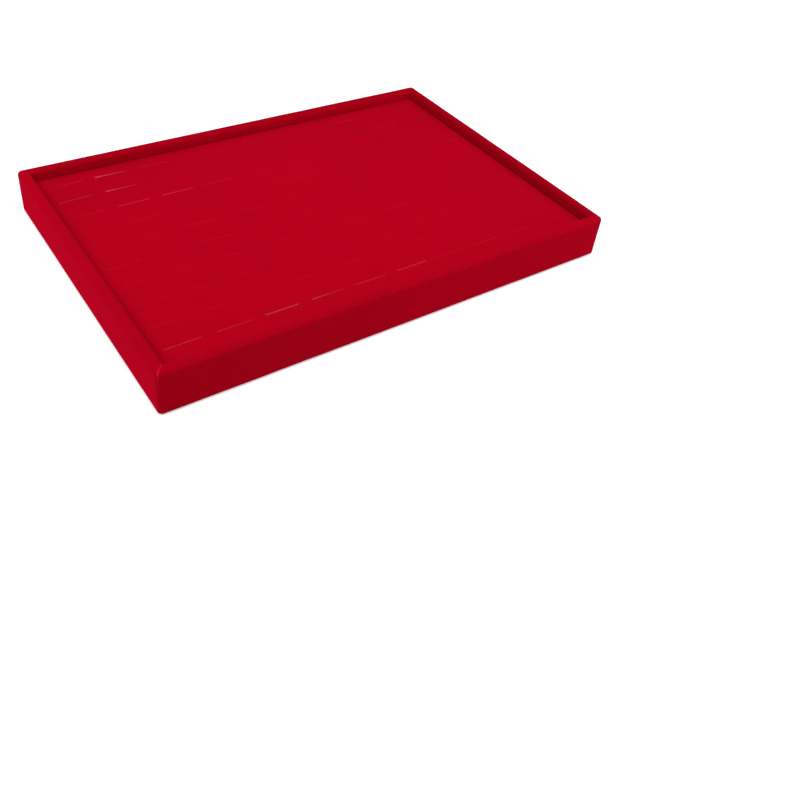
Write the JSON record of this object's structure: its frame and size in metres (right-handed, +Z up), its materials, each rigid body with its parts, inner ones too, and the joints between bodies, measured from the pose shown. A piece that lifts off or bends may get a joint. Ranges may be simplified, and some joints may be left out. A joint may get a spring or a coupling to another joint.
{
  "type": "jewelry tray",
  "caption": "Low rectangular velvet-covered display tray with a raised rim and a lift-out foam pad cut with a grid of H-shaped slits that grip small jewellery upright.",
  "frame": {"origin": "middle of the underside, on the surface that the tray stands on", "axes": "+X along the long sides, to the right; +Y to the rear; +Z up"},
  "size_m": [0.35, 0.24, 0.033],
  "materials": {
    "red_velvet": "matte",
    "fibreboard": "matte",
    "black_card": "matte",
    "grey_card": "matte",
    "foam": "matte",
    "brad_steel": "satin"
  },
  "bodies": {
    "tray": {"base_board": "fibreboard", "front_wall": "fibreboard", "rear_wall": "fibreboard", "left_wall": "fibreboard", "right_wall": "fibreboard", "front_wrap": "red_velvet", "rear_wrap": "red_velvet", "left_wrap": "red_velvet", "right_wrap": "red_velvet", "bottom_lining": "black_card", "corner_brads": "brad_steel", "base_brads": "brad_steel"},
    "slotted_pad": {"pad_card": "grey_card", "pad_foam": "foam", "pad_cover": "red_velvet"}
  },
  "joints": [
    {"name": "pad_lift", "type": "slide", "parent": "tray", "child": "slotted_pad", "axis": [0, 0, 1], "range_m": [0, 0.035]}
  ]
}
